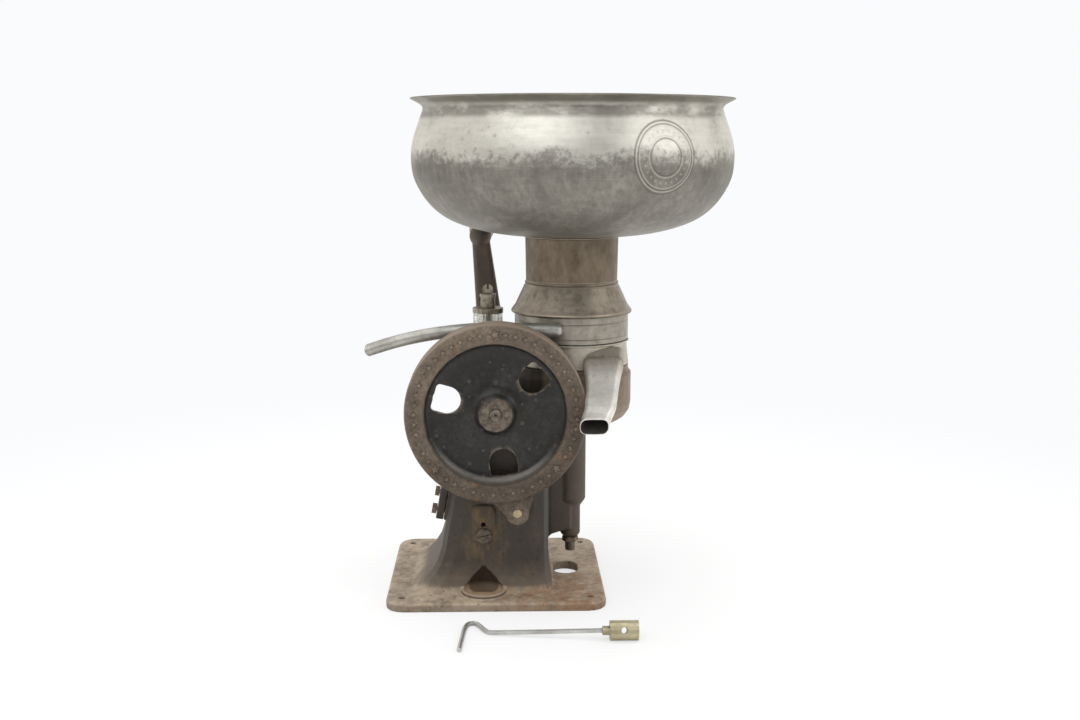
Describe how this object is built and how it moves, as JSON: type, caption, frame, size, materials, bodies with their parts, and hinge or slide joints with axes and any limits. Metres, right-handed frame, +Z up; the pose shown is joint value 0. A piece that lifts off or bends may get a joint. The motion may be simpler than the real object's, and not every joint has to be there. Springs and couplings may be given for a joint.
{
  "type": "hand cranked cream separator",
  "caption": "Table cream separator: supply tank, float chamber, cream and skim covers with spouts, bowl with discs on a spindle, hand crank and step-up gears.",
  "frame": {"origin": "centre of the base plate's underside, on the table", "axes": "+Z up, +Y from the gear cover towards the crank, +X from the crankshaft towards the bowl"},
  "size_m": [0.3723, 0.4153, 0.5035],
  "materials": {
    "adjusting_screw": "bare steel",
    "bowl_body": "bare steel",
    "bowl_hood": "bare steel",
    "bowl_nut": "dull brass",
    "bowl_seal": "matt",
    "crank_arm": "worn dark paint over grey iron, with rust",
    "crank_bush_back": "bearing bronze",
    "crank_bush_front": "bearing bronze",
    "crank_gear": "worn dark paint over grey iron, with rust",
    "crank_grip": "dark varnished hardwood",
    "crank_pin": "bare steel",
    "crankshaft": "bare steel",
    "cream_cover": "aged tinplate",
    "cream_spout": "aged tinplate",
    "disc_1": "aged tinplate",
    "disc_2": "aged tinplate",
    "disc_3": "aged tinplate",
    "disc_4": "aged tinplate",
    "disc_5": "aged tinplate",
    "disc_6": "aged tinplate",
    "distributor": "aged tinplate",
    "drain_plug": "worn dark paint over grey iron, with rust",
    "float": "aged tinplate",
    "footstep_ball": "bare steel",
    "footstep_bush": "bearing bronze",
    "frame_casting": "worn dark paint over grey iron, with rust",
    "gear_cover": "brown rusted iron",
    "gear_cover_screw": "dull brass",
    "grip_pin": "bare steel",
    "layshaft": "bare steel",
    "layshaft_bush_back": "bearing bronze",
    "layshaft_bush_front": "bearing bronze",
    "lock_nut": "worn dark paint over grey iron, with rust",
    "neck_bush": "bearing bronze",
    "oiler_cap": "aged nickel plate",
    "oiler_glass": "clear glass",
    "oiler_holder": "aged nickel plate",
    "oiler_needle_key": "aged nickel plate",
    "pinion": "bare steel",
    "regulating_cover": "aged tinplate, brown and dull",
    "side_cover": "worn dark paint over grey iron, with rust",
    "side_cover_bolt_1": "brown rusted iron",
    "side_cover_bolt_2": "brown rusted iron",
    "side_cover_bolt_3": "brown rusted iron",
    "side_cover_bolt_4": "brown rusted iron",
    "skim_cover": "aged tinplate",
    "skim_spout": "aged tinplate",
    "spindle": "bare steel",
    "tank": "aged tinplate",
    "tank_outlet": "dull brass",
    "tap_plug": "dull brass",
    "tap_rod": "bare steel",
    "worm_wheel": "bearing bronze"
  },
  "bodies": {
    "frame": {"frame_casting": "frame_casting", "side_cover": "side_cover", "side_cover_bolt_1": "side_cover_bolt_1", "side_cover_bolt_2": "side_cover_bolt_2", "side_cover_bolt_3": "side_cover_bolt_3", "side_cover_bolt_4": "side_cover_bolt_4", "drain_plug": "drain_plug", "gear_cover": "gear_cover", "gear_cover_screw": "gear_cover_screw", "oiler_holder": "oiler_holder", "oiler_glass": "oiler_glass", "oiler_cap": "oiler_cap", "crank_bush_front": "crank_bush_front", "crank_bush_back": "crank_bush_back", "layshaft_bush_front": "layshaft_bush_front", "layshaft_bush_back": "layshaft_bush_back", "neck_bush": "neck_bush", "footstep_bush": "footstep_bush", "footstep_ball": "footstep_ball", "adjusting_screw": "adjusting_screw", "lock_nut": "lock_nut"},
    "oiler_needle": {"oiler_needle_key": "oiler_needle_key"},
    "crank": {"crankshaft": "crankshaft", "crank_gear": "crank_gear", "crank_arm": "crank_arm", "crank_pin": "crank_pin", "grip_pin": "grip_pin"},
    "grip": {"crank_grip": "crank_grip"},
    "layshaft_gears": {"layshaft": "layshaft", "pinion": "pinion", "worm_wheel": "worm_wheel"},
    "bowl_and_spindle": {"spindle": "spindle", "bowl_body": "bowl_body", "distributor": "distributor", "disc_1": "disc_1", "disc_2": "disc_2", "disc_3": "disc_3", "disc_4": "disc_4", "disc_5": "disc_5", "disc_6": "disc_6", "bowl_seal": "bowl_seal", "bowl_hood": "bowl_hood", "bowl_nut": "bowl_nut"},
    "skim_tin": {"skim_cover": "skim_cover", "skim_spout": "skim_spout"},
    "cream_tin": {"cream_cover": "cream_cover", "cream_spout": "cream_spout"},
    "float_chamber": {"regulating_cover": "regulating_cover"},
    "milk_float": {"float": "float"},
    "supply_tank": {"tank": "tank", "tank_outlet": "tank_outlet"},
    "tap_key": {"tap_plug": "tap_plug", "tap_rod": "tap_rod"}
  },
  "joints": [
    {"name": "crank_turn", "type": "hinge", "parent": "frame", "child": "crank", "pos_m": [0, 0, 0.196], "axis": [0, 1, 0], "continuous": true},
    {"name": "grip_spin", "type": "hinge", "parent": "crank", "child": "grip", "pos_m": [-0.01665, 0.0933, 0.35714], "axis": [0, 1, 0], "continuous": true},
    {"name": "layshaft_turn", "type": "hinge", "parent": "frame", "child": "layshaft_gears", "pos_m": [0.02529, 0, 0.11328], "axis": [0, 1, 0], "continuous": true},
    {"name": "spindle_spin", "type": "hinge", "parent": "frame", "child": "bowl_and_spindle", "pos_m": [0.0785, 0, 0], "axis": [0, 0, 1], "continuous": true},
    {"name": "oiler_needle_turn", "type": "hinge", "parent": "frame", "child": "oiler_needle", "pos_m": [-0.0078, -0.012, 0.3], "axis": [0, 0, 1], "range_deg": [0, 270]},
    {"name": "skim_tin_lift", "type": "slide", "parent": "frame", "child": "skim_tin", "axis": [0, 0, 1], "range_m": [0, 0.05]},
    {"name": "cream_tin_lift", "type": "slide", "parent": "skim_tin", "child": "cream_tin", "axis": [0, 0, 1], "range_m": [0, 0.04]},
    {"name": "float_chamber_lift", "type": "slide", "parent": "cream_tin", "child": "float_chamber", "axis": [0, 0, 1], "range_m": [0, 0.04]},
    {"name": "float_rise", "type": "slide", "parent": "float_chamber", "child": "milk_float", "axis": [0, 0, 1], "range_m": [0, 0.04]},
    {"name": "tank_lift", "type": "slide", "parent": "float_chamber", "child": "supply_tank", "axis": [0, 0, 1], "range_m": [0, 0.1]},
    {"name": "tap_key_lift", "type": "slide", "parent": "frame", "child": "tap_key", "axis": [0, 0, 1], "range_m": [0, 0.1]}
  ],
  "couplings": [
    {"joint": "layshaft_turn", "follows": "crank_turn", "ratio": -8},
    {"joint": "spindle_spin", "follows": "crank_turn", "ratio": -160}
  ]
}
